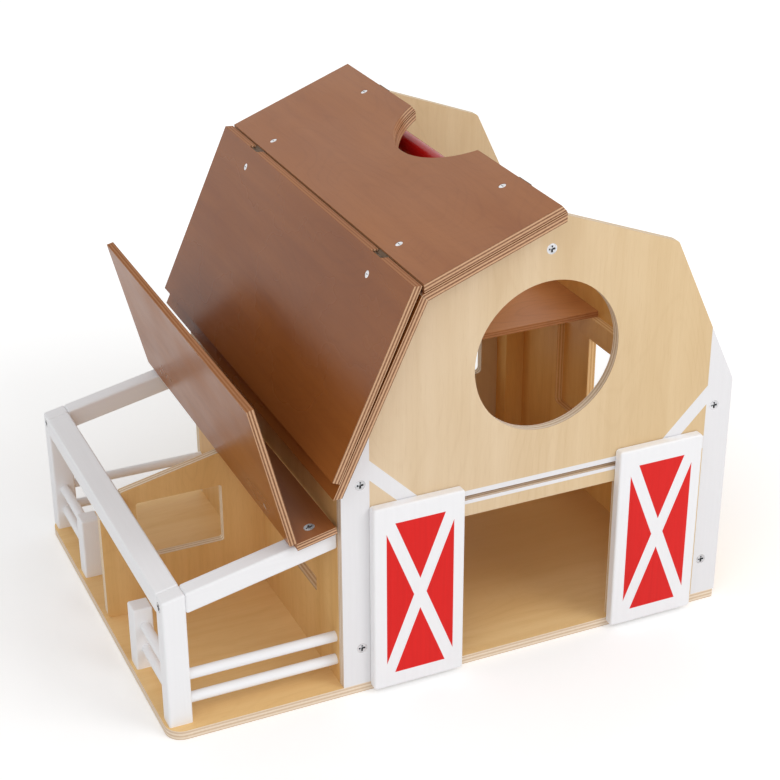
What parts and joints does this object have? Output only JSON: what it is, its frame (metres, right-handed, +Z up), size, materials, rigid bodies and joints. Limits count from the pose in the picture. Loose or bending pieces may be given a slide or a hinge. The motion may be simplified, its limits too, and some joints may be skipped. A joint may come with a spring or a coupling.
{
  "type": "toy barn with opening doors",
  "caption": "Toy barn with a folding gambrel roof lid, sliding front doors, a round loft window, a carry handle and a fenced lean-to stall with a lifting flap.",
  "frame": {"origin": "middle of the underside of the base plate", "axes": "+X right along the barn's front, away from the fenced yard; +Y from the front with the sliding doors to the back; +Z up"},
  "size_m": [0.5666, 0.4534, 0.4563],
  "materials": {
    "natural_ply": "satin",
    "brown_stained_ply": "satin",
    "white_painted_wood": "satin",
    "red_painted_wood": "gloss",
    "golden_ply": "satin",
    "hinge_steel": "brushed",
    "screw_steel": "satin",
    "cross_screw_steel": "bright",
    "retainer_plastic": "matte"
  },
  "bodies": {
    "barn": {"base_plate": "natural_ply", "front_gable": "natural_ply", "back_gable": "natural_ply", "left_side_wall": "natural_ply", "right_side_wall": "natural_ply", "loft_support_left": "natural_ply", "loft_support_right": "natural_ply", "barn_post_front_left": "natural_ply", "barn_post_front_right": "natural_ply", "barn_post_back_left": "natural_ply", "barn_post_back_right": "natural_ply", "roof_left_upper": "brown_stained_ply", "roof_left_lower": "brown_stained_ply", "lean_to_board": "brown_stained_ply", "loft_floor": "brown_stained_ply", "rail_front_low": "white_painted_wood", "rail_front_high": "white_painted_wood", "rail_back_low": "white_painted_wood", "rail_back_high": "white_painted_wood", "rail_side_front_low": "white_painted_wood", "rail_side_front_high": "white_painted_wood", "rail_side_back_low": "white_painted_wood", "rail_side_back_high": "white_painted_wood", "yard_post_front": "white_painted_wood", "yard_post_back": "white_painted_wood", "rafter_front": "white_painted_wood", "rafter_back": "white_painted_wood", "gate_post_front": "white_painted_wood", "gate_post_back": "white_painted_wood", "outer_beam": "white_painted_wood", "carry_handle": "red_painted_wood", "stall_divider": "golden_ply", "ridge_hinge_fixed_leaves": "hinge_steel", "ridge_hinge_pins": "hinge_steel", "flap_hinge_board_leaves": "hinge_steel", "flap_hinge_pins": "hinge_steel", "gable_screws": "screw_steel", "yard_screws": "screw_steel", "base_screws": "screw_steel", "cross_screws_left_upper": "cross_screw_steel", "cross_screws_board": "cross_screw_steel"},
    "roof_upper": {"roof_right_upper": "brown_stained_ply", "ridge_hinge_swing_leaves": "hinge_steel", "shoulder_hinge_upper_leaves": "hinge_steel", "shoulder_hinge_pins": "hinge_steel", "cross_screws_right_upper": "cross_screw_steel"},
    "roof_lower": {"roof_right_lower": "brown_stained_ply", "shoulder_hinge_lower_leaves": "hinge_steel", "cross_screws_right_lower": "cross_screw_steel"},
    "flap": {"lean_to_flap": "brown_stained_ply", "flap_hinge_flap_leaves": "hinge_steel", "cross_screws_flap": "cross_screw_steel"},
    "left_door": {"door_left": "red_painted_wood", "door_left_studs": "hinge_steel", "door_left_retainers": "retainer_plastic"},
    "right_door": {"door_right": "red_painted_wood", "door_right_studs": "hinge_steel", "door_right_retainers": "retainer_plastic"}
  },
  "joints": [
    {"name": "roof_ridge_hinge", "type": "hinge", "parent": "barn", "child": "roof_upper", "pos_m": [0.08325, 0, 0.45006], "axis": [0, 1, 0], "range_deg": [0, 221.4]},
    {"name": "roof_shoulder_hinge", "type": "hinge", "parent": "roof_upper", "child": "roof_lower", "pos_m": [-0.05559, 0, 0.40412], "axis": [0, 1, 0], "range_deg": [0, 88.95]},
    {"name": "lean_to_flap_hinge", "type": "hinge", "parent": "barn", "child": "flap", "pos_m": [-0.15973, 0, 0.16844], "axis": [0, -1, 0], "range_deg": [0, 87.8]},
    {"name": "left_door_slide", "type": "slide", "parent": "barn", "child": "left_door", "axis": [1, 0, 0], "range_m": [0, 0.0833]},
    {"name": "right_door_slide", "type": "slide", "parent": "barn", "child": "right_door", "axis": [1, 0, 0], "range_m": [-0.0759, 0.0074]}
  ],
  "couplings": [
    {"joint": "roof_shoulder_hinge", "follows": "roof_ridge_hinge", "ratio": 0.40154}
  ]
}
